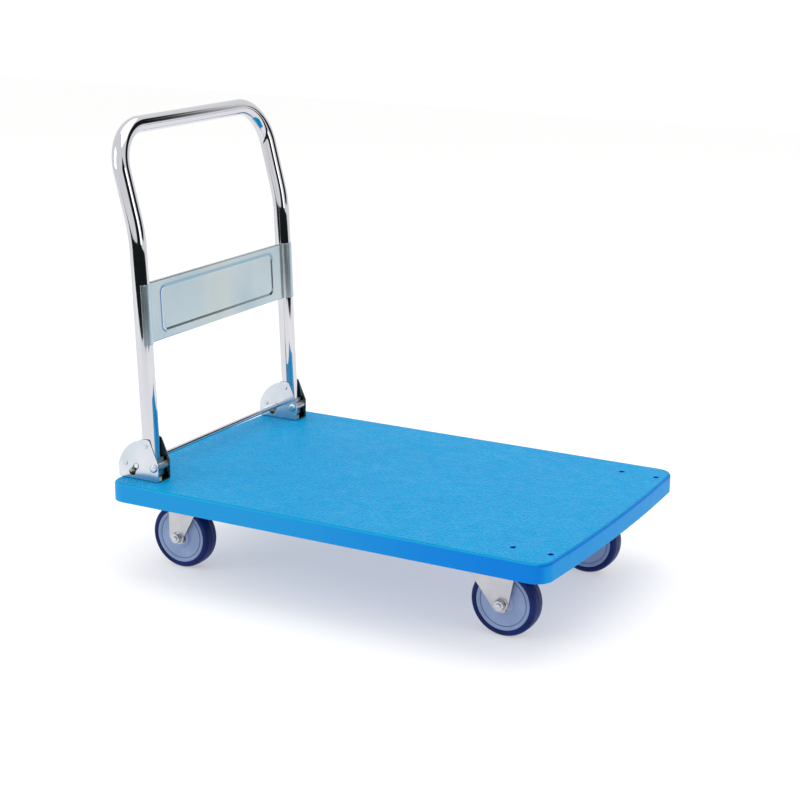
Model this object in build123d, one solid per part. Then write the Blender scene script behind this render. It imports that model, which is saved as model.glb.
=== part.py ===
from build123d import *
import os
from math import atan2, ceil, cos, degrees, radians, sin, sqrt, tan

# Folding platform truck: a ribbed plastic deck on two swivel and two rigid casters, with a
# fold-down push handle at the rear end and a foot-operated release bar between its two brackets.
# Millimetres. The origin is on the floor under the middle of the overall box. +X points to the
# front end, +Y to the left of someone pushing, +Z up.

# ---------------------------------------------------------------- driving dimensions
# Deck moulding
deck_length = 900.0           # over the crowns of the two bowed ends
deck_width = 600.0
deck_depth = 35.0             # height of the skirt
front_bow = 10.7              # how far the front end bulges
rear_bow = 8.6
corner_radius = 32.0
top_edge_radius = 5.0
deck_skin = 4.5
skirt_wall = 4.0
rib_thickness = 3.0
rib_pitch = 78.0
rib_recess = 3.0              # rib edges stand back from the foot of the skirt
pad_recess = 5.0              # caster pads stand back from the foot of the skirt
pad_margin = 6.0              # pad around a caster plate
boss_recess = 12.0            # bracket bosses stand back, so their nuts are hidden
boss_margin = 6.0             # boss around a bracket base
accessory_inset = 25.7        # first pair of accessory holes, from the front crown
accessory_pitch = 69.0        # second pair, further back
accessory_hole = 8.5
accessory_boss = 24.0

# Handle rail line and handle
rail_inset = 58.0             # from the deck's side to the middle of an upright
tube_diameter = 31.8
tube_wall = 1.5
leg_offset = 17.0             # upright's centre line behind the pivot, at the pivot's height
lower_lean = 2.74             # degrees from upright, towards the rear
upper_lean = 14.7
kink_height = 455.0           # above the deck
bar_height = 643.0            # top bar's centre line above the deck
kink_bend = 140.0
corner_bend = 79.0
tube_end_height = 14.0        # cut end of the uprights, above the deck

# Back panel
panel_bottom = 255.0          # along the uprights, above the deck
panel_height = 111.0
panel_sheet = 1.2
panel_clearance = 0.05        # curl to upright
panel_forward = 5.0           # web in front of the uprights' centre plane
panel_wrap = 57.0             # degrees that the end curls go past the front of each upright
panel_flange = 5.0
field_margin_y = 38.0         # pressed field, in from the inside of each upright
field_margin_z = 16.0
field_corner = 9.0
field_depth = 1.5

# Hinge brackets
bracket_length = 89.0
bracket_inset = 4.5           # from the rear crown
bracket_sheet = 2.5
bracket_arc_radius = 68.0
bracket_arc_x = 66.0          # arc centre, ahead of the bracket's rear edge
bracket_arc_z = 11.0
bracket_front_height = 36.2
bracket_slant_x = 70.2        # where the slanted front edge meets the arc
bracket_corner = 6.0
side_clearance = 1.1          # tube to side plate
pivot_x = 79.5                # all from the bracket's rear edge and the deck top
pivot_z = 27.0
pivot_pin = 10.0
pivot_head = 16.0
spacer_x = 15.8
spacer_z = 29.0
spacer_diameter = 9.0
spacer_rivet = 6.0
pad_x = 62.8
pad_z = 67.0
pad_diameter = 10.0
pad_thickness = 0.6
pad_rivet = 4.0
bolt_pitch = 62.0
bolt_diameter = 8.0
bolt_flats = 13.0
bolt_head_height = 5.3
bolt_proud = 2.0              # thread end past its nut
nut_height = 6.5
nut_pocket = 20.8             # round pocket that a wrench reaches the bracket nuts through
washer_thickness = 1.6
washer_clearance = 0.3
rivet_head_height = 1.6
pivot_head_height = 4.5

# Release bar
bar_diameter = 10.0
bar_x = 40.1                  # rest place, at the top of the slot
bar_z = 26.4
keyhole_x = 30.5              # bottom of the slot, where the round hole is
keyhole_z = 12.9
keyhole_diameter = 14.0
bar_clearance = 0.4
bar_proud = 1.0               # bar end past the bracket's outer face
clip_thickness = 0.8
clip_diameter = 16.0
clip_groove = 0.8             # depth of the clip's groove
clip_mouth = 6.2
clip_side_gap = 0.2
bar_chamfer = 0.8

# Release springs
wire = 1.6
coil_diameter = 13.6          # over the wire
coil_length = 10.0
coil_side_gap = 2.0
spring_bar_gap = 0.4          # arm under the release bar
spring_base_gap = 0.3         # post over the bracket's base

# Handle feet
barrel_diameter = 16.0
barrel_side_gap = 0.5
pivot_clearance = 0.05        # running fit, on the radius
foot_swing = 34.0             # nothing on the foot's rear lies further from the pivot
foot_half_width = 12.0
foot_plug_length = 28.0
foot_flange_bottom = 9.0
foot_lug_top = 42.0
heel_width_x = 9.0
heel_gap = 0.3

# Casters
wheel_diameter = 125.0
tyre_width = 36.0
tyre_thickness = 11.5
tyre_shoulder = 7.0
hub_face = 30.0               # hub width over its disc faces
hub_rim_width = 33.0
hub_lip = 3.0                 # width of the rim's edge, and of its slope
hub_bore_gap = 1.0            # hub to axle sleeve
hub_boss_width = 41.0
hub_boss_diameter = 44.0
hub_groove_radius = 43.0
hub_groove_width = 1.4
hub_groove_depth = 2.5
bearing_diameter = 30.0
bearing_width = 10.0
sleeve_diameter = 15.0
sleeve_clearance = 0.05
axle_diameter = 10.0
axle_flats = 17.0
axle_head_height = 6.4
axle_nut_height = 9.0
axle_proud = 3.0              # thread end past its nut
fork_sheet = 3.0
fork_gap = 45.0               # between a fork's legs
axle_side_gap = 0.2
crown_gap = 6.0               # wheel to fork crown
race_height = 17.0            # fork crown to caster plate
plate_thickness = 4.0
plate_length = 108.0
plate_width = 85.0
plate_corner = 10.0
plate_bolt_x = 84.0
plate_bolt_y = 68.0
rear_kingpin_inset = 124.0    # from the rear crown
rear_trail = 30.0             # wheel behind its kingpin
front_plate_inset = 160.0     # from the front crown
front_offset = 28.0           # wheel ahead of its plate's middle
caster_side_inset = 120.0     # from the deck's side
race_radius = 23.5
race_outer = 31.0
race_inner = 15.5
ball_diameter = 7.0
ball_count = 14
ball_clearance = 0.3
race_split = 3.0              # slit between upper and lower race
kingpin_diameter = 12.0
kingpin_clearance = 0.05
kingpin_head = 24.0
kingpin_head_height = 5.0
kingpin_head_gap = 0.3        # under the fork crown
turned_chamfer = 1.2
insert_diameter = 12.0
insert_length = 14.0
insert_room = 2.0             # drilled past a caster bolt's end
caster_bolt_length = 20.0
thread_clearance = 0.05
hole_clearance = 0.25
overcut = 1.0                 # a cutter runs this far past the face it pierces

# ---------------------------------------------------------------- derived places
wheel_radius = wheel_diameter / 2
crown_bottom = wheel_diameter + crown_gap
crown_top = crown_bottom + fork_sheet
plate_bottom = crown_top + race_height
plate_top = plate_bottom + plate_thickness
deck_top = plate_top + deck_depth - pad_recess
deck_bottom = deck_top - deck_depth
skin_bottom = deck_top - deck_skin
boss_bottom = deck_bottom + boss_recess
bolt_hole = bolt_diameter + 2 * hole_clearance

pivot_from_rear = bracket_inset + pivot_x
leg_at_pivot = pivot_from_rear - leg_offset
kink_from_rear = leg_at_pivot - tan(radians(lower_lean)) * (kink_height - pivot_z)
bar_from_rear = kink_from_rear - tan(radians(upper_lean)) * (bar_height - kink_height)
overhang = tube_diameter / 2 - bar_from_rear

rear_edge = -(deck_length - overhang) / 2
front_edge = rear_edge + deck_length
rail_y = deck_width / 2 - rail_inset
caster_y = deck_width / 2 - caster_side_inset
bracket_rear = rear_edge + bracket_inset
bracket_gap = tube_diameter + 2 * side_clearance
bracket_width = bracket_gap + 2 * bracket_sheet
pivot = Vector(rear_edge + pivot_from_rear, 0, deck_top + pivot_z)
kingpin_x = rear_edge + rear_kingpin_inset
rear_axle_x = kingpin_x - rear_trail
front_plate_x = front_edge - front_plate_inset
front_axle_x = front_plate_x + front_offset

SIDES = {"left": 1, "right": -1}


# ---------------------------------------------------------------- general helpers
def box(x0, x1, y0, y1, z0, z1):
    """A block between two opposite corners."""
    centre = Pos((x0 + x1) / 2, (y0 + y1) / 2, (z0 + z1) / 2)
    return centre * Box(x1 - x0, y1 - y0, z1 - z0)


def upright(x, y, z0, z1, diameter):
    """A cylinder along Z from z0 to z1."""
    return Pos(x, y, (z0 + z1) / 2) * Cylinder(diameter / 2, z1 - z0)


def crosswise(x, z, y0, y1, diameter):
    """A cylinder along Y from y0 to y1."""
    return Pos(x, (y0 + y1) / 2, z) * Rot(90, 0, 0) * Cylinder(diameter / 2, y1 - y0)


def plate_xz(points, y0, y1):
    """A flat plate between y0 and y1 with a straight-sided outline in X and Z."""
    outline = make_face(Polyline(*[(x, z) for x, z in points], close=True))
    plate = extrude(Plane.XZ * outline, y1 - y0)
    return Pos(0, y1, 0) * plate


def turned(points):
    """A body turned about the Y axis from (radius, y) points."""
    outline = make_face(Polyline(*[(r, y, 0) for r, y in points], close=True))
    return revolve(outline, Axis.Y)


def mirrored(shape, side):
    """The left-hand shape, or its mirror image for the right-hand side."""
    return shape if side > 0 else mirror(shape, Plane.XZ)


def group(shapes):
    """Several separate solids kept together under one name."""
    return Compound(children=[solid for shape in shapes for solid in shape.solids()])


def hexagon(across_flats, height):
    """A chamfered hexagon standing on Z = 0."""
    prism = extrude(RegularPolygon(across_flats / 2, 6, major_radius=False), height)
    crown = Pos(0, 0, height / 2) * Cylinder(across_flats / sqrt(3), height)
    crown = chamfer(crown.edges().group_by(Axis.Z)[-1], height * 0.14)
    return prism & crown


def screw(diameter, length, across_flats, head_height):
    """A hexagon screw: its head stands on Z = 0 and its shank hangs below."""
    shank = Pos(0, 0, -length / 2) * Cylinder(diameter / 2, length)
    shank = chamfer(shank.edges().group_by(Axis.Z)[0], diameter * 0.08)
    return shank + hexagon(across_flats, head_height)


def nut(diameter, across_flats, height):
    """A hexagon nut standing on Z = 0."""
    return hexagon(across_flats, height) - Cylinder(diameter / 2 + thread_clearance, 4 * height)


def dome(x, z, y, side, diameter, height):
    """A domed rivet head on a face at y that looks along side."""
    head = Cylinder(diameter / 2, height, align=(Align.CENTER, Align.CENTER, Align.MIN))
    head = fillet(head.edges().group_by(Axis.Z)[-1], height * 0.85)
    return Pos(x, y, z) * Rot(-90 * side, 0, 0) * head


# ---------------------------------------------------------------- deck
def deck_slab(inset, bottom, top):
    """The deck's bowed outline, drawn in by inset, between two heights."""
    half = deck_width / 2 - inset
    x0 = rear_edge + rear_bow + inset
    x1 = front_edge - front_bow - inset
    near = Line((x0, -half), (x1, -half))
    front = ThreePointArc((x1, -half), (front_edge - inset, 0), (x1, half))
    far = Line((x1, half), (x0, half))
    rear = ThreePointArc((x0, half), (rear_edge + inset, 0), (x0, -half))
    face = make_face(near + front + far + rear)
    face = fillet(face.vertices(), corner_radius - inset)
    return Pos(0, 0, bottom) * extrude(face, top - bottom)


def evenly(length, pitch):
    """Places of ribs that divide a length into equal bays no wider than the pitch."""
    bays = ceil(length / pitch)
    return [-length / 2 + length * i / bays for i in range(1, bays)]


def caster_places():
    """Middle of each caster plate."""
    return [(x, side * caster_y) for x in (kingpin_x, front_plate_x) for side in SIDES.values()]


def plate_bolt_places():
    """Every caster bolt."""
    offsets = [(i * plate_bolt_x / 2, j * plate_bolt_y / 2) for i in (-1, 1) for j in (-1, 1)]
    return [(x + dx, y + dy) for x, y in caster_places() for dx, dy in offsets]


def bracket_bolt_places():
    """Every bracket bolt."""
    middle = bracket_rear + bracket_length / 2
    xs = (middle - bolt_pitch / 2, middle + bolt_pitch / 2)
    return [(x, side * rail_y) for x in xs for side in SIDES.values()]


def accessory_places():
    """The four open holes at the front end."""
    first = front_edge - accessory_inset
    return [(x, side * rail_y) for x in (first, first - accessory_pitch) for side in SIDES.values()]


def deck_shell():
    slab = deck_slab(0, deck_bottom, deck_top)
    slab = fillet(slab.edges().group_by(Axis.Z)[-1], top_edge_radius)
    hollow = deck_slab(skirt_wall, deck_bottom - overcut, skin_bottom)
    rib_bottom = deck_bottom + rib_recess
    half = rib_thickness / 2
    reach = deck_length
    solid_parts = []
    for y in evenly(deck_width - 2 * skirt_wall, rib_pitch):
        solid_parts.append(box(-reach, reach, y - half, y + half, rib_bottom, deck_top))
    middle = (rear_edge + front_edge) / 2
    for x in evenly(deck_length - 2 * skirt_wall, rib_pitch):
        solid_parts.append(box(middle + x - half, middle + x + half, -reach, reach, rib_bottom, deck_top))
    pad_x_half = plate_length / 2 + pad_margin
    pad_y_half = plate_width / 2 + pad_margin
    for x, y in caster_places():
        solid_parts.append(
            box(x - pad_x_half, x + pad_x_half, y - pad_y_half, y + pad_y_half, plate_top, deck_top)
        )
    boss_half = bracket_width / 2 + boss_margin
    for side in SIDES.values():
        y = side * rail_y
        x0 = bracket_rear - boss_margin
        x1 = bracket_rear + bracket_length + boss_margin
        solid_parts.append(box(x0, x1, y - boss_half, y + boss_half, boss_bottom, deck_top))
    for x, y in accessory_places():
        solid_parts.append(upright(x, y, rib_bottom, deck_top, accessory_boss))
    below = deck_bottom - overcut
    under_plates = [
        box(x - pad_x_half, x + pad_x_half, y - pad_y_half, y + pad_y_half, below, plate_top)
        for x, y in caster_places()
    ]
    webs = solid_parts[0].fuse(*solid_parts[1:])
    webs = webs.cut(*under_plates)
    under_bosses = [
        upright(x, y, below, boss_bottom, nut_pocket) for x, y in bracket_bolt_places()
    ]
    webs = webs.cut(*under_bosses)
    shell = slab - (hollow - webs)
    holes = [
        upright(x, y, below, deck_top + overcut, accessory_hole) for x, y in accessory_places()
    ]
    holes += [
        upright(x, y, below, deck_top + overcut, bolt_hole) for x, y in bracket_bolt_places()
    ]
    for x, y in plate_bolt_places():
        pocket_top = plate_bottom + caster_bolt_length + insert_room
        holes.append(upright(x, y, plate_top - overcut, plate_top + insert_length, insert_diameter))
        holes.append(upright(x, y, plate_top, pocket_top, bolt_hole))
    return shell.cut(*holes)


# ---------------------------------------------------------------- hinge brackets
def bracket_outline():
    """Side plate outline in X and Z, with its arc at the rear and its slanted front edge."""
    cx = bracket_rear + bracket_arc_x
    cz = deck_top + bracket_arc_z
    r = bracket_arc_radius
    low = (bracket_rear, cz + sqrt(r * r - bracket_arc_x ** 2))
    slant_dx = bracket_slant_x - bracket_arc_x
    high = (bracket_rear + bracket_slant_x, cz + sqrt(r * r - slant_dx ** 2))
    middle = (cx - r * cos(radians(50)), cz + r * sin(radians(50)))
    foot_rear = (bracket_rear, deck_top)
    foot_front = (bracket_rear + bracket_length, deck_top)
    nose = (bracket_rear + bracket_length, deck_top + bracket_front_height)
    lines = Line(foot_rear, low) + ThreePointArc(low, middle, high) + Line(high, nose)
    face = make_face(lines + Line(nose, foot_front) + Line(foot_front, foot_rear))
    top = face.vertices().sort_by(Axis.Y)[-1]
    face = fillet(top, bracket_corner)
    return fillet(face.vertices().sort_by_distance(Vector(*nose))[0], bracket_corner / 2)


def keyhole(y0, y1):
    """The slot that the release bar slides in, with its round entry hole."""
    width = bar_diameter + 2 * bar_clearance
    low = Vector(bracket_rear + keyhole_x, 0, deck_top + keyhole_z)
    high = Vector(bracket_rear + bar_x, 0, deck_top + bar_z)
    run = high - low
    slope = degrees(atan2(run.Z, run.X))
    slot = Box(run.length, y1 - y0, width)
    slot = Pos((low.X + high.X) / 2, (y0 + y1) / 2, (low.Z + high.Z) / 2) * Rot(0, -slope, 0) * slot
    entry = crosswise(low.X, low.Z, y0, y1, keyhole_diameter)
    return slot + crosswise(high.X, high.Z, y0, y1, width) + entry


def bracket(side):
    """One pressed channel: a base and two side plates, pierced for its pins and the bar."""
    y0 = rail_y - bracket_width / 2
    y1 = rail_y + bracket_width / 2
    block = Pos(0, y1, 0) * extrude(Plane.XZ * bracket_outline(), bracket_width)
    inside = box(
        bracket_rear - overcut, bracket_rear + bracket_length + overcut,
        rail_y - bracket_gap / 2, rail_y + bracket_gap / 2,
        deck_top + bracket_sheet, deck_top + 3 * bracket_arc_radius,
    )
    channel = block - inside
    low_edges = channel.edges().filter_by(Axis.X).group_by(Axis.Z)[0]
    channel = fillet(low_edges, bracket_sheet * 0.8)
    cuts = [
        keyhole(y0 - overcut, y1 + overcut),
        crosswise(pivot.X, pivot.Z, y0 - overcut, y1 + overcut, pivot_pin),
        crosswise(bracket_rear + spacer_x, deck_top + spacer_z, y0 - overcut, y1 + overcut, spacer_rivet),
        crosswise(bracket_rear + pad_x, deck_top + pad_z, y0 - overcut, y1 + overcut, pad_rivet),
    ]
    for x, y in bracket_bolt_places():
        if y > 0:
            cuts.append(upright(x, y, deck_top - overcut, deck_top + bracket_sheet + overcut, bolt_hole))
    for cut in cuts:
        channel -= cut
    return mirrored(channel, side)


def through_rivet(x, z, diameter, head, head_height):
    """A rivet through both side plates of the left bracket, domed at each end."""
    y0 = rail_y - bracket_width / 2
    y1 = rail_y + bracket_width / 2
    shank = crosswise(x, z, y0, y1, diameter)
    return shank + dome(x, z, y1, 1, head, head_height) + dome(x, z, y0, -1, head, head_height)


def pivot_pins():
    pin = through_rivet(pivot.X, pivot.Z, pivot_pin, pivot_head, pivot_head_height)
    return group([mirrored(pin, side) for side in SIDES.values()])


def spacer_rivets():
    x = bracket_rear + spacer_x
    z = deck_top + spacer_z
    pin = through_rivet(x, z, spacer_rivet, spacer_rivet + 3, rivet_head_height)
    return group([mirrored(pin, side) for side in SIDES.values()])


def spacers():
    x = bracket_rear + spacer_x
    z = deck_top + spacer_z
    y0 = rail_y - bracket_gap / 2
    y1 = rail_y + bracket_gap / 2
    tube = crosswise(x, z, y0, y1, spacer_diameter)
    tube -= crosswise(x, z, y0 - overcut, y1 + overcut, spacer_rivet)
    return group([mirrored(tube, side) for side in SIDES.values()])


def pad_faces():
    """Inner and outer face of each side plate of the left bracket, with the way outwards."""
    half_gap = bracket_gap / 2
    half_width = bracket_width / 2
    return [(rail_y + s * half_gap, rail_y + s * half_width, s) for s in (1, -1)]


def guide_pads():
    """Thin slip discs between the uprights and the side plates."""
    x = bracket_rear + pad_x
    z = deck_top + pad_z
    pads = []
    for inner, outer, s in pad_faces():
        face = inner - s * pad_thickness
        disc = crosswise(x, z, min(face, inner), max(face, inner), pad_diameter)
        pads.append(disc - crosswise(x, z, face - overcut, face + overcut, pad_rivet))
    return group([mirrored(pad, side) for side in SIDES.values() for pad in pads])


def pad_rivets():
    x = bracket_rear + pad_x
    z = deck_top + pad_z
    rivets = []
    for inner, outer, s in pad_faces():
        face = inner - s * pad_thickness
        shank = crosswise(x, z, min(face, outer), max(face, outer), pad_rivet)
        rivets.append(shank + dome(x, z, outer, s, pad_rivet + 4, rivet_head_height))
    return group([mirrored(rivet, side) for side in SIDES.values() for rivet in rivets])


def bracket_bolts():
    grip = bracket_sheet + deck_top - boss_bottom
    length = grip + washer_thickness + nut_height + bolt_proud
    bolt = screw(bolt_diameter, length, bolt_flats, bolt_head_height)
    return group([Pos(x, y, deck_top + bracket_sheet) * bolt for x, y in bracket_bolt_places()])


def bracket_washers():
    washers = []
    base = boss_bottom - washer_thickness
    bore = bolt_diameter + 2 * washer_clearance
    for x, y in bracket_bolt_places():
        ring = upright(x, y, base, boss_bottom, 2 * bolt_diameter)
        washers.append(ring - upright(x, y, base - overcut, boss_bottom + overcut, bore))
    return group(washers)


def bracket_nuts():
    base = boss_bottom - washer_thickness - nut_height
    piece = nut(bolt_diameter, bolt_flats, nut_height)
    return group([Pos(x, y, base) * piece for x, y in bracket_bolt_places()])


# ---------------------------------------------------------------- release bar and its springs
def release_bar():
    reach = rail_y + bracket_width / 2 + bar_proud
    x = bracket_rear + bar_x
    z = deck_top + bar_z
    bar = crosswise(x, z, -reach, reach, bar_diameter)
    bar = chamfer(bar.edges().filter_by(GeomType.CIRCLE), bar_chamfer)
    for y0, y1 in clip_spans():
        ring = crosswise(x, z, y0, y1, bar_diameter + 2)
        bar -= ring - crosswise(x, z, y0 - overcut, y1 + overcut, bar_diameter - 2 * clip_groove)
    return bar


def clip_spans():
    """Where the two clips sit: just inside the inner side plate of each bracket."""
    inner = rail_y - bracket_gap / 2 + clip_side_gap
    return [(inner, inner + clip_thickness), (-inner - clip_thickness, -inner)]


def bar_clips():
    x = bracket_rear + bar_x
    z = deck_top + bar_z
    clips = []
    for y0, y1 in clip_spans():
        ring = crosswise(x, z, y0, y1, clip_diameter)
        ring -= crosswise(x, z, y0 - overcut, y1 + overcut, bar_diameter - 2 * clip_groove)
        half = clip_mouth / 2
        clips.append(ring - box(x - clip_diameter, x, y0 - overcut, y1 + overcut, z - half, z + half))
    return group(clips)


def release_springs():
    """A close coil round each spacer, with one arm under the bar and one on the base."""
    x = bracket_rear + spacer_x
    z = deck_top + spacer_z
    y0 = rail_y - bracket_gap / 2 + coil_side_gap
    y1 = y0 + coil_length
    coil = crosswise(x, z, y0, y1, coil_diameter)
    coil -= crosswise(x, z, y0 - overcut, y1 + overcut, coil_diameter - 2 * wire)
    mean = (coil_diameter - wire) / 2
    under_bar_x = bracket_rear + bar_x + bar_diameter * 0.35
    under_bar_z = deck_top + bar_z - bar_diameter / 2 - wire / 2 - spring_bar_gap
    start = Vector(x, y1 - wire / 2, z - mean)
    end = Vector(under_bar_x, y1 - wire / 2, under_bar_z)
    run = end - start
    arm = Cylinder(0.45 * wire, run.length, align=(Align.CENTER, Align.CENTER, Align.MIN))
    arm = Plane(origin=start, z_dir=run) * arm
    post = upright(x - mean, y0 + wire / 2, deck_top + bracket_sheet + spring_base_gap, z, 0.9 * wire)
    spring = coil + arm + post
    return group([mirrored(spring, side) for side in SIDES.values()])


# ---------------------------------------------------------------- handle
def leg_x(height):
    """Centre line of the lower upright at a height above the deck."""
    return pivot.X - leg_offset - tan(radians(lower_lean)) * (height - pivot_z)


def handle_points():
    """Corners of the handle's centre line, from the left foot over the bar to the right foot."""
    kink_x = leg_x(kink_height)
    bar_line_x = kink_x - tan(radians(upper_lean)) * (bar_height - kink_height)
    left = [
        (leg_x(0), rail_y, deck_top),
        (kink_x, rail_y, deck_top + kink_height),
        (bar_line_x, rail_y, deck_top + bar_height),
    ]
    return left + [(x, -y, z) for x, y, z in reversed(left)]


def rod_along_handle(diameter):
    points = handle_points()
    bends = [kink_bend, corner_bend, corner_bend, kink_bend]
    path = FilletPolyline(*points, radius=bends)
    start = Plane(origin=points[0], z_dir=Vector(*points[1]) - Vector(*points[0]))
    return sweep(start * Circle(diameter / 2), path=path)


def foot_trim(side_reach):
    """All that lies under the pivot's height and outside the foot's swing, or under the tube's end."""
    x0 = pivot.X - 3 * foot_swing
    x1 = pivot.X + 3 * foot_swing
    low = box(x0, x1, -side_reach, side_reach, deck_bottom, pivot.Z)
    cut_reach = side_reach + overcut
    return low - crosswise(pivot.X, pivot.Z, -cut_reach, cut_reach, 2 * foot_swing)


def handle_tube():
    tube = rod_along_handle(tube_diameter) - rod_along_handle(tube_diameter - 2 * tube_wall)
    reach = deck_width
    x0 = pivot.X - 3 * foot_swing
    x1 = pivot.X + 3 * foot_swing
    end = box(x0, x1, -reach, reach, deck_bottom, deck_top + tube_end_height)
    for side in SIDES.values():
        y = side * rail_y
        notch = crosswise(pivot.X, pivot.Z, y - tube_diameter, y + tube_diameter, barrel_diameter)
        end += notch
    return tube - end - foot_trim(reach)


def upright_frame(height):
    """Frame on an upright's centre line, its Z along the upright."""
    return Pos(leg_x(height), 0, deck_top + height) * Rot(0, -lower_lean, 0)


def handle_foot(side):
    """Plug in the tube's end, with the pivot barrel in front and the heel that rests on the base."""
    bottom = deck_top + foot_flange_bottom
    end = deck_top + tube_end_height
    half = foot_half_width
    tube_line = upright_frame(tube_end_height)
    reach = bracket_width
    x0 = pivot.X - 3 * foot_swing
    x1 = pivot.X + 3 * foot_swing
    under_end = box(x0, x1, -reach, reach, deck_top - 6 * foot_plug_length, end)
    plug = tube_line * Cylinder(tube_diameter / 2 - tube_wall, 2 * foot_plug_length) - under_end
    flange = box(leg_x(0) - foot_swing, pivot.X, -half, half, bottom, end)
    heel_front = pivot.X - heel_width_x * 1.5
    heel_bottom = deck_top + bracket_sheet + heel_gap
    heel = box(heel_front - heel_width_x, heel_front, -half, half, heel_bottom, bottom)
    foot = (plug + flange + heel) - foot_trim(reach)
    saddle = tube_line * Cylinder(tube_diameter / 2, 6 * foot_plug_length) - under_end
    lug = box(pivot.X - barrel_diameter / 2, pivot.X, -half, half, bottom, deck_top + foot_lug_top)
    barrel_half = bracket_gap / 2 - barrel_side_gap
    barrel = crosswise(pivot.X, pivot.Z, -barrel_half, barrel_half, barrel_diameter)
    foot = foot + (lug - saddle) + barrel
    foot -= crosswise(pivot.X, pivot.Z, -reach, reach, pivot_pin + 2 * pivot_clearance)
    return Pos(0, side * rail_y, 0) * foot


def panel_section():
    """Half of the panel's section across the left upright, measured from the upright's centre."""
    inner = tube_diameter / 2 + panel_clearance
    outer = inner + panel_sheet
    middle = inner + panel_sheet / 2
    web_turn = -degrees(atan2(sqrt(middle ** 2 - panel_forward ** 2), panel_forward))
    start = radians(panel_wrap)
    stop = radians(web_turn)
    half = (start + stop) / 2
    def at(radius, angle):
        return (radius * cos(angle), radius * sin(angle))
    curl = make_face(
        ThreePointArc(at(inner, start), at(inner, half), at(inner, stop))
        + Line(at(inner, stop), at(outer, stop))
        + ThreePointArc(at(outer, stop), at(outer, half), at(outer, start))
        + Line(at(outer, start), at(inner, start))
    )
    join_y = middle * sin(stop)
    web = Pos(panel_forward, (join_y - rail_y) / 2) * Rectangle(panel_sheet, rail_y + join_y)
    return curl + web


def back_panel():
    """Pressed sheet across the uprights, its ends curled round them."""
    frame = Pos(leg_x(panel_bottom), 0, deck_top + panel_bottom) * Rot(0, -lower_lean, 0)
    half = extrude(Pos(0, rail_y) * panel_section(), panel_height)
    sheet = half + mirror(half, Plane.XZ)
    web_half = rail_y - tube_diameter / 2 - panel_sheet
    rear_face = panel_forward - panel_sheet / 2
    flange_reach = web_half - 3
    for z0 in (0, panel_height - panel_sheet):
        sheet += box(rear_face - panel_flange, rear_face, -flange_reach, flange_reach, z0, z0 + panel_sheet)
    field_half = rail_y - tube_diameter / 2 - field_margin_y
    field_height = panel_height - 2 * field_margin_z
    field = extrude(RectangleRounded(field_height, 2 * field_half, field_corner), field_depth)
    field = Pos(0, 0, panel_height / 2) * Rot(0, 90, 0) * field
    sheet -= Pos(panel_forward + panel_sheet / 2 - field_depth, 0, 0) * field
    floor_shift = panel_forward - panel_sheet / 2 - field_depth
    rim_height = field_height + 2 * panel_sheet
    rim_width = 2 * (field_half + panel_sheet)
    rim = extrude(RectangleRounded(rim_height, rim_width, field_corner + panel_sheet), field_depth)
    dish = Pos(0, 0, panel_height / 2) * Rot(0, 90, 0) * rim
    sheet += Pos(floor_shift, 0, 0) * dish - Pos(floor_shift + panel_sheet, 0, 0) * field
    return frame * sheet


# ---------------------------------------------------------------- casters, each drawn about its own middle
half_gap = fork_gap / 2
axle_z = wheel_radius


def place_caster(shape, x, side):
    """Moves a caster piece to its corner of the deck."""
    return Pos(x, side * caster_y, 0) * shape


def mounting_plate():
    """Pressed plate with its corner bolt holes."""
    plate = extrude(RectangleRounded(plate_length, plate_width, plate_corner), plate_thickness)
    plate = Pos(0, 0, plate_bottom) * plate
    for dx in (-plate_bolt_x / 2, plate_bolt_x / 2):
        for dy in (-plate_bolt_y / 2, plate_bolt_y / 2):
            plate -= upright(dx, dy, plate_bottom - overcut, plate_top + overcut, bolt_hole)
    return plate


def race_groove():
    """Ring-shaped track that the balls run in, with clearance all round."""
    track = ball_diameter / 2 + ball_clearance
    return Pos(0, 0, race_middle()) * Torus(race_radius, track)


def race_middle():
    return (crown_top + plate_bottom) / 2


def race(z0, z1):
    ring = upright(0, 0, z0, z1, 2 * race_outer) - upright(0, 0, z0 - overcut, z1 + overcut, 2 * race_inner)
    rims = ring.edges().filter_by(GeomType.CIRCLE)
    ring = chamfer(rims.filter_by(lambda e: e.radius > race_radius), turned_chamfer)
    return ring - race_groove()


def swivel_plate():
    plate = mounting_plate() + race(race_middle() + race_split / 2, plate_bottom)
    return plate - upright(0, 0, race_middle(), plate_top + overcut, kingpin_diameter)


def kingpin():
    """Shouldered pin riveted into the plate, with a flat head under the fork crown."""
    head_top = crown_bottom - kingpin_head_gap
    pin = upright(0, 0, head_top, plate_top, kingpin_diameter)
    head = upright(0, 0, head_top - kingpin_head_height, head_top, kingpin_head)
    return pin + chamfer(head.edges().group_by(Axis.Z)[0], turned_chamfer)


def balls():
    ball = Sphere(ball_diameter / 2)
    places = [360 * i / ball_count for i in range(ball_count)]
    return [Rot(0, 0, a) * Pos(race_radius, 0, race_middle()) * ball for a in places]


def swivel_leg_outline():
    """Rear fork leg, from its axle: X back from the swivel axis, Z from the axle."""
    top = crown_bottom - axle_z
    return [(-19, top), (-19, -1), (-10, -13), (4, -13), (9, -6), (35, 45.7), (49.5, top)]


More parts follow.
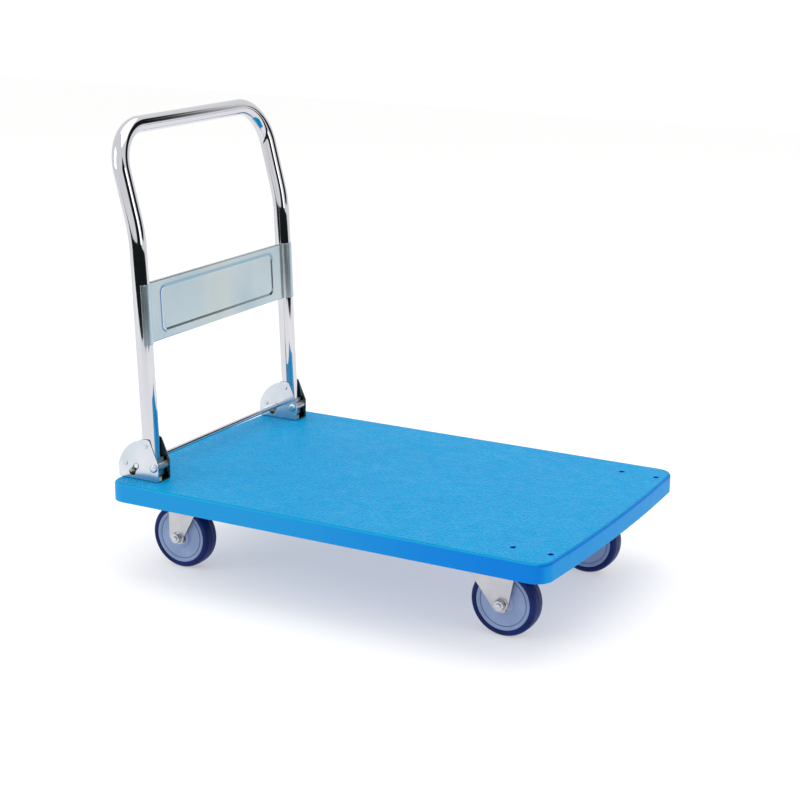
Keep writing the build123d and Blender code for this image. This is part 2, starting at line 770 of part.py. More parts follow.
def swivel_fork():
    axle_x = -rear_trail
    outer = half_gap + fork_sheet
    points = [(axle_x + x, axle_z + z) for x, z in swivel_leg_outline()]
    x0 = points[0][0]
    x1 = points[-1][0]
    legs = plate_xz(points, half_gap, outer) + plate_xz(points, -outer, -half_gap)
    across = Rectangle(x1 - x0, 2 * outer)
    crown = Pos((x0 + x1) / 2, 0) * across + Circle(race_outer)
    crown = Pos(0, 0, crown_bottom) * extrude(crown, fork_sheet)
    fork = legs + crown + race(crown_top, race_middle() - race_split / 2)
    bore = kingpin_diameter + 2 * kingpin_clearance
    fork -= upright(0, 0, crown_bottom - overcut, plate_bottom, bore)
    fork -= crosswise(axle_x, axle_z, -2 * outer, 2 * outer, axle_diameter)
    return fork


def rigid_leg_outline():
    """Front fork leg, from its axle: a wide slanted rear edge and a folded front strip."""
    top = plate_bottom - axle_z
    rear = -front_offset - plate_length / 2
    slant = 0.8
    meet = (-10 - rear) / slant - 15
    return [(rear, top), (rear, meet), (-10, -15), (7, -15), (13, -4), (22, 46.5), (27, top)]


def rigid_fork():
    axle_x = front_offset
    outer = half_gap + fork_sheet
    points = [(axle_x + x, axle_z + z) for x, z in rigid_leg_outline()]
    legs = plate_xz(points, half_gap, outer) + plate_xz(points, -outer, -half_gap)
    fork = legs + mounting_plate()
    return fork - crosswise(axle_x, axle_z, -2 * outer, 2 * outer, axle_diameter)


def axle_bolt(side):
    """Its head is on the inner leg and its threaded end on the outer one."""
    outer = half_gap + fork_sheet
    nut_room = axle_nut_height + axle_proud
    bolt = screw(axle_diameter, 2 * outer + nut_room, axle_flats, axle_head_height)
    return Pos(0, -side * outer, axle_z) * Rot(90 * side, 0, 0) * bolt


def axle_nut(side):
    outer = half_gap + fork_sheet
    piece = nut(axle_diameter, axle_flats, axle_nut_height)
    return Pos(0, side * outer, axle_z) * Rot(-90 * side, 0, 0) * piece


def axle_sleeve():
    half = half_gap - axle_side_gap
    tube = crosswise(0, axle_z, -half, half, sleeve_diameter)
    return tube - crosswise(0, axle_z, -half - overcut, half + overcut, axle_diameter + 2 * hole_clearance)


def tyre():
    inner = wheel_radius - tyre_thickness
    half = tyre_width / 2
    ring = turned([(inner, -half), (wheel_radius, -half), (wheel_radius, half), (inner, half)])
    rims = ring.edges().filter_by(GeomType.CIRCLE)
    ring = fillet(rims.filter_by(lambda e: e.radius > wheel_radius - 0.1), tyre_shoulder)
    return Pos(0, 0, axle_z) * ring


def hub():
    rim = wheel_radius - tyre_thickness
    boss = hub_boss_diameter / 2
    face = hub_face / 2
    edge = hub_rim_width / 2
    end = hub_boss_width / 2
    bore = sleeve_diameter / 2 + hub_bore_gap
    boss_end = boss - hub_lip
    slope = rim - hub_lip
    disc = [(bore, end), (boss_end, end), (boss, face)]
    half = disc + [(slope - hub_lip, face), (slope, edge), (rim, edge)]
    wheel = turned(half + [(r, -y) for r, y in reversed(half)])
    seat = bearing_diameter / 2
    for s in (1, -1):
        outer_end = s * (end + overcut)
        inner_end = s * (end - bearing_width)
        y0 = min(outer_end, inner_end)
        y1 = max(outer_end, inner_end)
        wheel -= crosswise(0, 0, y0, y1, 2 * seat)
        floor = s * (face - hub_groove_depth)
        mouth = s * (face + overcut)
        r0 = hub_groove_radius
        r1 = r0 + hub_groove_width
        wheel -= turned([(r0, floor), (r1, floor), (r1, mouth), (r0, mouth)])
    return Pos(0, 0, axle_z) * wheel


def wheel_bearings():
    """Two bearing rings pressed into the hub, running on the axle sleeve."""
    end = hub_boss_width / 2
    rings = []
    for s in (1, -1):
        y0 = min(s * end, s * (end - bearing_width))
        ring = crosswise(0, axle_z, y0, y0 + bearing_width, bearing_diameter)
        bore = sleeve_diameter + 2 * sleeve_clearance
        rings.append(ring - crosswise(0, axle_z, y0 - overcut, y0 + bearing_width + overcut, bore))
    return rings


def caster_bolts():
    bolt = screw(bolt_diameter, caster_bolt_length, bolt_flats, bolt_head_height)
    return group([Pos(x, y, plate_bottom) * Rot(180, 0, 0) * bolt for x, y in plate_bolt_places()])


def caster_inserts():
    """Threaded sleeves moulded into the deck's pads."""
    pieces = []
    for x, y in plate_bolt_places():
        sleeve = upright(x, y, plate_top, plate_top + insert_length, insert_diameter)
        bore = bolt_diameter + 2 * thread_clearance
        end = plate_top + insert_length
        pieces.append(sleeve - upright(x, y, plate_top - overcut, end + overcut, bore))
    return group(pieces)


# ---------------------------------------------------------------- all pieces
nodes = {
    "deck_shell": deck_shell(),
    "pivot_pins": pivot_pins(),
    "spacer_rivets": spacer_rivets(),
    "bracket_spacers": spacers(),
    "guide_pads": guide_pads(),
    "pad_rivets": pad_rivets(),
    "bracket_bolts": bracket_bolts(),
    "bracket_washers": bracket_washers(),
    "bracket_nuts": bracket_nuts(),
    "release_bar": release_bar(),
    "bar_clips": bar_clips(),
    "release_springs": release_springs(),
    "handle_tube": handle_tube(),
    "back_panel": back_panel(),
    "caster_bolts": caster_bolts(),
    "caster_inserts": caster_inserts(),
}

for name, side in SIDES.items():
    nodes[f"bracket_{name}"] = bracket(side)
    nodes[f"handle_foot_{name}"] = handle_foot(side)
    nodes[f"swivel_plate_{name}"] = place_caster(swivel_plate(), kingpin_x, side)
    nodes[f"kingpin_{name}"] = place_caster(kingpin(), kingpin_x, side)
    nodes[f"swivel_fork_{name}"] = place_caster(swivel_fork(), kingpin_x, side)
    nodes[f"swivel_balls_{name}"] = group([place_caster(b, kingpin_x, side) for b in balls()])
    nodes[f"rigid_fork_{name}"] = place_caster(rigid_fork(), front_plate_x, side)
    for end, x in (("rear", rear_axle_x), ("front", front_axle_x)):
        nodes[f"axle_bolt_{end}_{name}"] = place_caster(axle_bolt(side), x, side)
        nodes[f"axle_nut_{end}_{name}"] = place_caster(axle_nut(side), x, side)
        nodes[f"axle_sleeve_{end}_{name}"] = place_caster(axle_sleeve(), x, side)
        nodes[f"tyre_{end}_{name}"] = place_caster(tyre(), x, side)
        nodes[f"hub_{end}_{name}"] = place_caster(hub(), x, side)
        nodes[f"wheel_bearings_{end}_{name}"] = group(
            [place_caster(ring, x, side) for ring in wheel_bearings()]
        )

os.makedirs("parts", exist_ok=True)
for name, shape in nodes.items():
    export_step(shape, f"parts/{name}.step")

print(f"rear edge x {rear_edge:.2f}  front edge x {front_edge:.2f}  deck top {deck_top:.2f}")
print(f"pivot x {pivot.X:.3f} z {pivot.Z:.3f}  bar x {bracket_rear + bar_x:.3f} z {deck_top + bar_z:.3f}")
print(f"kingpin x {kingpin_x:.3f}  rear axle x {rear_axle_x:.3f}  front axle x {front_axle_x:.3f}")
bar_top = deck_top + bar_height + tube_diameter / 2
print(f"overall length {deck_length + overhang:.2f}  bar top {bar_top:.2f}")
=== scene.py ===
import math

import bmesh
import bpy
from mathutils import Matrix, Quaternion, Vector


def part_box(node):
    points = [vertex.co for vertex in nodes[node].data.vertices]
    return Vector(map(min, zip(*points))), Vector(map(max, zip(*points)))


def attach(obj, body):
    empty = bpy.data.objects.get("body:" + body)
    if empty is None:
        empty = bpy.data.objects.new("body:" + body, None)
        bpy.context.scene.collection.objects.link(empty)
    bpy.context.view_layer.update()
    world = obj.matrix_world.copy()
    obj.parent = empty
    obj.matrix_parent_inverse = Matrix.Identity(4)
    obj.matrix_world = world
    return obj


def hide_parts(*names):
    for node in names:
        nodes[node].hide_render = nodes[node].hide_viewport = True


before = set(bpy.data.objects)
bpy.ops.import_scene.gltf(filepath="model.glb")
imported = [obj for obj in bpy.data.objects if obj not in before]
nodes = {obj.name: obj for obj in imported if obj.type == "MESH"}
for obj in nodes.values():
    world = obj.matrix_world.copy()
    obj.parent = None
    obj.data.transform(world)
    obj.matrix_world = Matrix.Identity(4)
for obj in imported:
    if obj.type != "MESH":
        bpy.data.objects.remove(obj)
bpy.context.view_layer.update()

# ---------------------------------------------------------------- studio
# A plain set: white paper underfoot, pale flats to the left and right, a ceiling of diffusers and the
# unlit room beyond the paper, which puts the black streaks in the chrome. The paper is one-sided, so
# that the truck can be seen from below.
paper_reach = 7.0
paper_front = -2.45
paper_right = 2.25
paper_trim = ((0.8, -2.45), (2.25, -1.2))
room_black = (0.011, 0.016, 0.016)
flat_white = (1.0, 0.99, 0.985)
# The dark parts of the room, as stops of (rise of the direction, radians): the middle bearing of each part
# and half of its width. The front part is measured from the camera's bearing, the side part from +X.
front_gap_middle = ((-0.26, 0.50), (-0.13, 0.50), (0.02, 0.62), (0.3, 0.62))
front_gap_half = ((-0.26, 1.85), (-0.17, 1.70), (-0.05, 0.45), (0.3, 0.36), (0.6, 0.0))
side_gap_middle = ((0.0, 0.60), (0.2, 0.65), (0.39, 0.72), (0.56, 0.96))
side_gap_half = ((-0.02, 0.0), (0.03, 0.34), (0.39, 0.36), (0.56, 0.36), (0.66, 0.0))
front_gap_blur = 0.05
side_gap_blur = 0.04
background_white = (1.05, 1.05, 1.05)
camera_azimuth = math.radians(28.5)
camera_height = math.radians(15.43)
camera_roll = math.radians(0.63)


def sum_node(tree, operation, first, second=None):
    """One arithmetic node; each input is a socket or a number."""
    node = tree.nodes.new("ShaderNodeMath")
    node.operation = operation
    for place, value in enumerate((first, second)):
        if value is None:
            continue
        if isinstance(value, (int, float)):
            node.inputs[place].default_value = value
        else:
            tree.links.new(value, node.inputs[place])
    return node.outputs["Value"]


def eased(tree, value, start, stop):
    """0 below start, 1 above stop, smooth between them."""
    node = tree.nodes.new("ShaderNodeMapRange")
    node.interpolation_type = "SMOOTHSTEP"
    node.inputs["From Min"].default_value = start
    node.inputs["From Max"].default_value = stop
    tree.links.new(value, node.inputs["Value"])
    return node.outputs["Result"]


def stepped(tree, value, stops):
    """A value that follows straight runs between (position, value) stops."""
    low = stops[0][0]
    high = stops[-1][0]
    most = max(level for _, level in stops)
    span = tree.nodes.new("ShaderNodeMapRange")
    span.inputs["From Min"].default_value = low
    span.inputs["From Max"].default_value = high
    tree.links.new(value, span.inputs["Value"])
    ramp = tree.nodes.new("ShaderNodeValToRGB")
    while len(ramp.color_ramp.elements) < len(stops):
        ramp.color_ramp.elements.new(0.5)
    for element, (position, level) in zip(ramp.color_ramp.elements, stops):
        element.position = (position - low) / (high - low)
        element.color = (level / most, level / most, level / most, 1)
    tree.links.new(span.outputs["Result"], ramp.inputs["Fac"])
    return sum_node(tree, "MULTIPLY", ramp.outputs["Color"], most)


room = bpy.data.worlds.new("studio_room")
bpy.context.scene.world = room
room.use_nodes = True
walls = room.node_tree
direction = walls.nodes.new("ShaderNodeTexCoord")
split = walls.nodes.new("ShaderNodeSeparateXYZ")
walls.links.new(direction.outputs["Generated"], split.inputs["Vector"])
rise = split.outputs["Z"]
bearing = sum_node(walls, "ARCTAN2", split.outputs["Y"], split.outputs["X"])
from_camera = sum_node(walls, "ADD", bearing, math.radians(90) - camera_azimuth)


def dark_part(bearing_there, middle, half, blur):
    """1 inside a dark part of the room and 0 outside it, blurred at the sides."""
    off = sum_node(walls, "SUBTRACT", bearing_there, stepped(walls, rise, middle))
    inside = sum_node(walls, "SUBTRACT", stepped(walls, rise, half), sum_node(walls, "ABSOLUTE", off))
    return eased(walls, inside, -blur, blur)


front_gap = dark_part(from_camera, front_gap_middle, front_gap_half, front_gap_blur)
side_gap = dark_part(bearing, side_gap_middle, side_gap_half, side_gap_blur)
gaps = sum_node(walls, "MAXIMUM", front_gap, side_gap)
room_shade = walls.nodes.new("ShaderNodeMix")
room_shade.data_type = "RGBA"
room_shade.inputs["A"].default_value = list(flat_white) + [1]
room_shade.inputs["B"].default_value = list(room_black) + [1]
walls.links.new(gaps, room_shade.inputs["Factor"])
ray = walls.nodes.new("ShaderNodeLightPath")
seen = walls.nodes.new("ShaderNodeMix")
seen.data_type = "RGBA"
seen.inputs["B"].default_value = list(background_white) + [1]
walls.links.new(ray.outputs["Is Camera Ray"], seen.inputs["Factor"])
walls.links.new(room_shade.outputs["Result"], seen.inputs["A"])
walls.links.new(seen.outputs["Result"], walls.nodes["Background"].inputs["Color"])
walls.nodes["Background"].inputs["Strength"].default_value = 1.0
bpy.context.scene.view_settings.view_transform = "Standard"

paper_mesh = bpy.data.meshes.new("paper")
paper_mesh.from_pydata(
    [(-paper_reach, paper_front, 0)] + [(x, y, 0) for x, y in paper_trim]
    + [(paper_right, paper_reach, 0), (-paper_reach, paper_reach, 0)],
    [], [(0, 1, 2, 3, 4)],
)
paper = bpy.data.objects.new("paper", paper_mesh)
bpy.context.scene.collection.objects.link(paper)
paper_finish = bpy.data.materials.new("paper")
paper_finish.use_nodes = True
paper_grain = paper_finish.node_tree.nodes.new("ShaderNodeTexNoise")
paper_grain.inputs["Scale"].default_value = 3.0
paper_shade = paper_finish.node_tree.nodes.new("ShaderNodeValToRGB")
paper_shade.color_ramp.elements[0].color = (0.60, 0.60, 0.60, 1)
paper_shade.color_ramp.elements[1].color = (0.62, 0.62, 0.62, 1)
paper_finish.node_tree.links.new(paper_grain.outputs["Fac"], paper_shade.inputs["Fac"])
paper_surface = paper_finish.node_tree.nodes["Principled BSDF"]
paper_finish.node_tree.links.new(paper_shade.outputs["Color"], paper_surface.inputs["Base Color"])
paper_surface.inputs["Roughness"].default_value = 0.9
paper_surface.inputs["Specular IOR Level"].default_value = 0.0
paper_surface.inputs["Emission Color"].default_value = (1, 1, 1, 1)
paper_surface.inputs["Emission Strength"].default_value = 0.42
paper_sides = paper_finish.node_tree.nodes.new("ShaderNodeMixShader")
paper_back = paper_finish.node_tree.nodes.new("ShaderNodeBsdfTransparent")
paper_facing = paper_finish.node_tree.nodes.new("ShaderNodeNewGeometry")
paper_finish.node_tree.links.new(paper_facing.outputs["Backfacing"], paper_sides.inputs[0])
paper_finish.node_tree.links.new(paper_surface.outputs["BSDF"], paper_sides.inputs[1])
paper_finish.node_tree.links.new(paper_back.outputs["BSDF"], paper_sides.inputs[2])
paper_out = paper_finish.node_tree.nodes["Material Output"]
paper_finish.node_tree.links.new(paper_sides.outputs["Shader"], paper_out.inputs["Surface"])
paper_mesh.materials.append(paper_finish)


def softbox(name, place, aim, width, height, watts):
    """A rectangular diffused lamp that faces its aim."""
    lamp = bpy.data.lights.new(name, "AREA")
    lamp.shape = "RECTANGLE"
    lamp.size = width
    lamp.size_y = height
    lamp.energy = watts
    holder = bpy.data.objects.new(name, lamp)
    bpy.context.scene.collection.objects.link(holder)
    holder.location = place
    holder.rotation_euler = (Vector(aim) - Vector(place)).to_track_quat("-Z", "Y").to_euler()
    return holder


softbox("overhead", (0.2, 0.3, 3.2), (0.1, 0, 0.2), 3.2, 2.6, 30)
softbox("left_flat", (-2.2, -2.2, 1.6), (0, 0, 0.3), 1.2, 1.8, 16)
far_flat = softbox("far_flat", (1.6, 3.0, 2.2), (0, 0, 0.3), 2.0, 1.4, 14)
far_flat.visible_glossy = False
softbox("right_flat", (3.0, -0.5, 1.2), (0.2, 0, 0.3), 1.0, 1.4, 10)

camera_data = bpy.data.cameras.new("camera")
camera_data.sensor_width = 36
camera_data.lens = 82.86
camera_data.shift_x = 0.0044
camera = bpy.data.objects.new("camera", camera_data)
bpy.context.scene.collection.objects.link(camera)
camera.location = (1.5774, -2.8901, 1.2405)
look = Vector((
    -math.sin(camera_azimuth) * math.cos(camera_height),
    math.cos(camera_azimuth) * math.cos(camera_height),
    -math.sin(camera_height),
))
camera.rotation_mode = "QUATERNION"
camera.rotation_quaternion = look.to_track_quat("-Z", "Y") @ Quaternion((0, 0, 1), camera_roll)
bpy.context.scene.camera = camera

# ---------------------------------------------------------------- deck moulding
# One injection-moulded polypropylene platform. The top is pebble grained against slipping, and its rolled
# edge and skirt are smooth. Ribs, caster pads and bolt bosses are moulded in underneath.
deck_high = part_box("deck_shell")[1]
accessory_holes_x = (0.364652, 0.433652)
accessory_hole_y = 0.242
accessory_rim = 0.0056


def shade(red, green, blue):
    """A colour from its ordinary 0 to 255 steps."""
    def channel(step):
        share = step / 255
        return share / 12.92 if share <= 0.04045 else ((share + 0.055) / 1.055) ** 2.4
    return (channel(red), channel(green), channel(blue))


def flat_distance(tree, first, second):
    """How far a place lies from where two measures are both 0."""
    squares = [sum_node(tree, "MULTIPLY", part, part) for part in (first, second)]
    return sum_node(tree, "SQRT", sum_node(tree, "ADD", *squares))


class Finish:
    """A surface finish: one shader, with patterns added to its colour, gloss and relief."""

    def __init__(self, name, colour, roughness, metallic=0.0):
        self.material = bpy.data.materials.new(name)
        self.material.use_nodes = True
        self.tree = self.material.node_tree
        self.shader = self.tree.nodes["Principled BSDF"]
        self.shader.inputs["Base Color"].default_value = list(colour) + [1]
        self.shader.inputs["Roughness"].default_value = roughness
        self.shader.inputs["Metallic"].default_value = metallic
        self.place = self.tree.nodes.new("ShaderNodeTexCoord").outputs["Object"]
        self.split = self.tree.nodes.new("ShaderNodeSeparateXYZ")
        self.tree.links.new(self.place, self.split.inputs["Vector"])

    def clouds(self, scale, detail=2.0, stretch=(1, 1, 1)):
        """Soft random pattern, in cycles a metre, squeezed along the axes by stretch."""
        mapping = self.tree.nodes.new("ShaderNodeMapping")
        mapping.inputs["Scale"].default_value = stretch
        self.tree.links.new(self.place, mapping.inputs["Vector"])
        noise = self.tree.nodes.new("ShaderNodeTexNoise")
        noise.inputs["Scale"].default_value = scale
        noise.inputs["Detail"].default_value = detail
        self.tree.links.new(mapping.outputs["Vector"], noise.inputs["Vector"])
        return noise.outputs["Fac"]

    def pebbles(self, scale):
        """Height of close rounded grains."""
        cells = self.tree.nodes.new("ShaderNodeTexVoronoi")
        cells.feature = "SMOOTH_F1"
        cells.inputs["Scale"].default_value = scale
        cells.inputs["Smoothness"].default_value = 0.4
        self.tree.links.new(self.place, cells.inputs["Vector"])
        return sum_node(self.tree, "SUBTRACT", 1.0, cells.outputs["Distance"])

    def between(self, axis, start, stop):
        """0 before start and 1 after stop along an axis, in metres; start may be the larger."""
        return eased(self.tree, self.split.outputs[axis], start, stop)

    def times(self, first, second):
        return sum_node(self.tree, "MULTIPLY", first, second)

    def tint(self, pattern, low, high, start=0.3, stop=0.7):
        """Colour that goes from low to high with a pattern."""
        ramp = self.tree.nodes.new("ShaderNodeValToRGB")
        ramp.color_ramp.elements[0].position = start
        ramp.color_ramp.elements[1].position = stop
        ramp.color_ramp.elements[0].color = list(low) + [1]
        ramp.color_ramp.elements[1].color = list(high) + [1]
        self.tree.links.new(pattern, ramp.inputs["Fac"])
        self.tree.links.new(ramp.outputs["Color"], self.shader.inputs["Base Color"])

    def overlay(self, amount, colour, most=1.0):
        """Another colour laid over the present one where amount is high."""
        mix = self.tree.nodes.new("ShaderNodeMix")
        mix.data_type = "RGBA"
        socket = self.shader.inputs["Base Color"]
        if socket.is_linked:
            self.tree.links.new(socket.links[0].from_socket, mix.inputs["A"])
        else:
            mix.inputs["A"].default_value = socket.default_value
        mix.inputs["B"].default_value = list(colour) + [1]
        self.tree.links.new(sum_node(self.tree, "MULTIPLY", amount, most), mix.inputs["Factor"])
        self.tree.links.new(mix.outputs["Result"], socket)

    def gloss(self, pattern, low, high):
        """Roughness between low and high with a pattern."""
        span = self.tree.nodes.new("ShaderNodeMapRange")
        span.inputs["From Min"].default_value = 0.3
        span.inputs["From Max"].default_value = 0.7
        span.inputs["To Min"].default_value = low
        span.inputs["To Max"].default_value = high
        self.tree.links.new(pattern, span.inputs["Value"])
        self.tree.links.new(span.outputs["Result"], self.shader.inputs["Roughness"])

    def relief(self, pattern, depth, strength=1.0):
        """Fine relief, in metres, on top of any there already."""
        bump = self.tree.nodes.new("ShaderNodeBump")
        bump.inputs["Distance"].default_value = depth
        bump.inputs["Strength"].default_value = strength
        self.tree.links.new(pattern, bump.inputs["Height"])
        socket = self.shader.inputs["Normal"]
        if socket.is_linked:
            self.tree.links.new(socket.links[0].from_socket, bump.inputs["Normal"])
        self.tree.links.new(bump.outputs["Normal"], socket)


def finish_node(name, finish):
    """Puts a finish on a carried-over CAD piece."""
    piece = nodes[name]
    piece.data.materials.clear()
    piece.data.materials.append(finish.material)


deck_blue = Finish("deck_polypropylene", shade(0, 160, 210), 0.45)
deck_blue.shader.inputs["Specular IOR Level"].default_value = 0.06
deck_blue.tint(deck_blue.clouds(6.0, 3.0), shade(0, 157, 208), shade(0, 163, 212))
deck_grain = deck_blue.pebbles(230.0)
deck_leather = deck_blue.clouds(150.0, 5.0)
top_face = deck_blue.between("Z", deck_high.z - 0.0008, deck_high.z - 0.0001)
grain_hollow = eased(deck_blue.tree, deck_leather, 0.62, 0.36)
deck_blue.overlay(deck_blue.times(grain_hollow, top_face), shade(0, 132, 200), 0.4)
grain_joint = eased(deck_blue.tree, deck_grain, 0.66, 0.40)
deck_blue.overlay(deck_blue.times(grain_joint, top_face), shade(0, 124, 196), 0.45)
# Painted shade: below the top edge the skirt is coloured a duller blue than the top, standing in for the
# lesser light on its sides.
painted_skirt_shading = deck_blue.between("Z", deck_high.z - 0.0008, deck_high.z - 0.004)
deck_blue.overlay(painted_skirt_shading, shade(34, 142, 208), 0.9)
# Painted shade: the skirt is coloured darker towards the front.
skirt_shade_ahead = deck_blue.times(painted_skirt_shading, deck_blue.between("X", -0.15, 0.42))
deck_blue.overlay(skirt_shade_ahead, shade(0, 116, 212), 0.85)
# Painted light: the front face of the skirt is coloured lighter, as if it were lit more than the long
# sides.
front_painted_light = deck_blue.times(painted_skirt_shading, deck_blue.between("X", deck_high.x - 0.022, deck_high.x - 0.010))
deck_blue.overlay(front_painted_light, shade(20, 147, 216), 0.9)
# Painted shade: a dark blue line along the rounded top edge at the front end.
front_edge_painted_shade = deck_blue.times(
    deck_blue.between("Z", deck_high.z - 0.0004, deck_high.z - 0.0018),
    deck_blue.between("Z", deck_high.z - 0.0065, deck_high.z - 0.0042),
)
front_edge_painted_shade = deck_blue.times(front_edge_painted_shade, deck_blue.between("X", deck_high.x - 0.030, deck_high.x - 0.018))
deck_blue.overlay(front_edge_painted_shade, shade(0, 98, 206), 0.8)
# Painted shade: each accessory hole and its rim are coloured dark blue, standing in for the shade inside
# the hole.
for hole_x in accessory_holes_x:
    along = sum_node(deck_blue.tree, "SUBTRACT", deck_blue.split.outputs["X"], hole_x)
    from_middle = sum_node(deck_blue.tree, "ABSOLUTE", deck_blue.split.outputs["Y"])
    aside = sum_node(deck_blue.tree, "SUBTRACT", from_middle, accessory_hole_y)
    from_hole = flat_distance(deck_blue.tree, along, aside)
    hole_painted_shade = eased(deck_blue.tree, from_hole, accessory_rim + 0.0004, accessory_rim - 0.0002)
    deck_blue.overlay(hole_painted_shade, shade(0, 44, 200))
deck_blue.relief(deck_blue.times(deck_grain, top_face), 0.0024, 0.9)
deck_blue.relief(deck_blue.times(deck_leather, top_face), 0.0016, 0.5)
deck_blue.relief(deck_blue.clouds(700.0, 2.0), 0.0001, 0.25)
deck_blue.gloss(deck_blue.clouds(40.0, 3.0), 0.34, 0.48)
finish_node("deck_shell", deck_blue)

# ---------------------------------------------------------------- hinge brackets
# Two pressed steel channels, bright zinc plated and bolted through the deck. Their side plates carry the
# handle's pivot and the keyhole slots of the release bar. The presses leave every edge slightly rolled.
bracket_edge = 0.0005
bracket_sheet = 0.0025


def show_piece(name, mesh, finish, slot, body, *stands_for):
    """Adds a finished piece to the truck, on its body, in place of the CAD nodes that it stands for."""
    mesh.materials.append(finish.material)
    mesh.polygons.foreach_set("use_smooth", [True] * len(mesh.polygons))
    piece = bpy.data.objects.new(name, mesh)
    bpy.context.scene.collection.objects.link(piece)
    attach(piece, body)
    if stands_for:
        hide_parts(*stands_for)
    return piece


def pressed_copy(node):
    """The CAD piece's own shape, with its flat faces made whole again, ready to be worked."""
    work = bmesh.new()
    work.from_mesh(nodes[node].data)
    bmesh.ops.remove_doubles(work, verts=work.verts, dist=0.000004)
    bmesh.ops.dissolve_limit(
        work, angle_limit=math.radians(0.8), verts=work.verts, edges=work.edges, delimit=set()
    )
    return work


def rolled_edges(work, width, sharpest=28):
    """Rounds every edge that is sharper than an angle."""
    limit = math.radians(sharpest)
    sharp = [e for e in work.edges if len(e.link_faces) == 2 and e.calc_face_angle(0) > limit]
    bmesh.ops.bevel(
        work, geom=sharp, offset=width, offset_type="OFFSET", segments=2, profile=0.5,
        affect="EDGES", clamp_overlap=True,
    )


def finished_mesh(work, name):
    """Turns the worked shape into a mesh whose flats stay flat and whose rolled edges shine."""
    mesh = bpy.data.meshes.new(name)
    bmesh.ops.remove_doubles(work, verts=work.verts, dist=0.000002)
    bmesh.ops.recalc_face_normals(work, faces=work.faces)
    work.to_mesh(mesh)
    work.free()
    return mesh


def flats_kept(piece):
    """Lets the large faces set the shading, so a rolled edge doesn't bend them."""
    shading = piece.modifiers.new("flats", "WEIGHTED_NORMAL")
    shading.weight = 90
    return piece


bracket_zinc = Finish("bracket_zinc", shade(200, 208, 216), 0.2, 1.0)
bracket_zinc.tint(bracket_zinc.clouds(22.0, 3.0), shade(192, 201, 211), shade(209, 214, 219))
bracket_zinc.gloss(bracket_zinc.clouds(18.0, 2.0), 0.17, 0.23)
bracket_zinc.relief(bracket_zinc.clouds(500.0, 2.0, (0.08, 1, 1)), 0.00003, 0.4)
# Painted shade: inside each channel, between its side plates, the zinc is coloured a dark grey-green.
for side in ("left", "right"):
    low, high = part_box(f"bracket_{side}")
    shade_past_near = bracket_zinc.between("Y", low.y + bracket_sheet * 0.6, low.y + bracket_sheet * 0.9)
    shade_short_of_far = bracket_zinc.between("Y", high.y - bracket_sheet * 0.6, high.y - bracket_sheet * 0.9)
    bracket_zinc.overlay(bracket_zinc.times(shade_past_near, shade_short_of_far), shade(58, 72, 68), 0.85)
rivet_zinc = Finish("rivet_zinc", shade(196, 202, 210), 0.22, 1.0)
rivet_zinc.gloss(rivet_zinc.clouds(300.0, 3.0), 0.16, 0.34)
bolt_yellow = Finish("bolt_passivated_zinc", shade(214, 205, 176), 0.3, 1.0)
bolt_yellow.tint(bolt_yellow.clouds(160.0, 3.0), shade(206, 190, 150), shade(206, 214, 206))
bolt_yellow.gloss(bolt_yellow.clouds(300.0, 3.0), 0.22, 0.4)
washer_steel = Finish("washer_steel", shade(186, 188, 190), 0.28, 1.0)
washer_steel.gloss(washer_steel.clouds(150.0, 3.0), 0.2, 0.38)
# The guide pads are coloured near black as painted shade, so that the inside of the keyhole slots looks
# dark.
slip_nylon = Finish("slip_nylon", shade(40, 44, 46), 0.5)
slip_nylon.tint(slip_nylon.clouds(60.0, 3.0), shade(34, 38, 40), shade(48, 52, 54))
for side in ("left", "right"):
    channel = pressed_copy(f"bracket_{side}")
    rolled_edges(channel, bracket_edge)
    mesh = finished_mesh(channel, f"hinge_bracket_{side}")
    flats_kept(show_piece(
        f"hinge_bracket_{side}", mesh, bracket_zinc, "bracket_plate", "root", f"bracket_{side}"
    ))
for node in ("pivot_pins", "spacer_rivets", "pad_rivets", "bracket_spacers"):
    finish_node(node, rivet_zinc)
for node in ("bracket_bolts", "bracket_nuts"):
    finish_node(node, bolt_yellow)
finish_node("bracket_washers", washer_steel)
finish_node("guide_pads", slip_nylon)

# ---------------------------------------------------------------- release springs
# A torsion spring of hard drawn wire sits on each bracket's spacer tube. One end bears on the base, the
# other reaches forward under the release bar and lifts it to the top of its slot.
spring_wire = 0.0016
spring_turns = 5.5
coil_radius = 0.006
coil_steps = 24
coil_length = 0.0090
coil_from_end = 0.0100
spring_end_inset = 0.0012
base_gap = 0.0009
arm_drop = 0.0013
arm_past_bar = 0.001
arm_from_end = 0.0008
post_top_drop = 0.002
spring_low, spring_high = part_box("release_springs")
spacer_low, spacer_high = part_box("bracket_spacers")
bar_low, bar_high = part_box("release_bar")


def wire_mesh(name, points, radius, around=10):
    """A round wire with closed ends along a line of points."""
    work = bmesh.new()
    rings = []
    tangent = (points[1] - points[0]).normalized()
    across = tangent.orthogonal().normalized()
    for index, point in enumerate(points):
        before = points[max(index - 1, 0)]
        after = points[min(index + 1, len(points) - 1)]
        turned_to = (after - before).normalized()
        across = tangent.rotation_difference(turned_to) @ across
        tangent = turned_to
        other = tangent.cross(across)
        ring = []
        for step in range(around):
            angle = 2 * math.pi * step / around
            offset = across * math.cos(angle) + other * math.sin(angle)
            ring.append(work.verts.new(point + radius * offset))
        rings.append(ring)
    for first, second in zip(rings, rings[1:]):
        for step in range(around):
            following = (step + 1) % around
            work.faces.new((first[step], first[following], second[following], second[step]))
    work.faces.new(rings[0][::-1])
    work.faces.new(rings[-1])
    return finished_mesh(work, name)


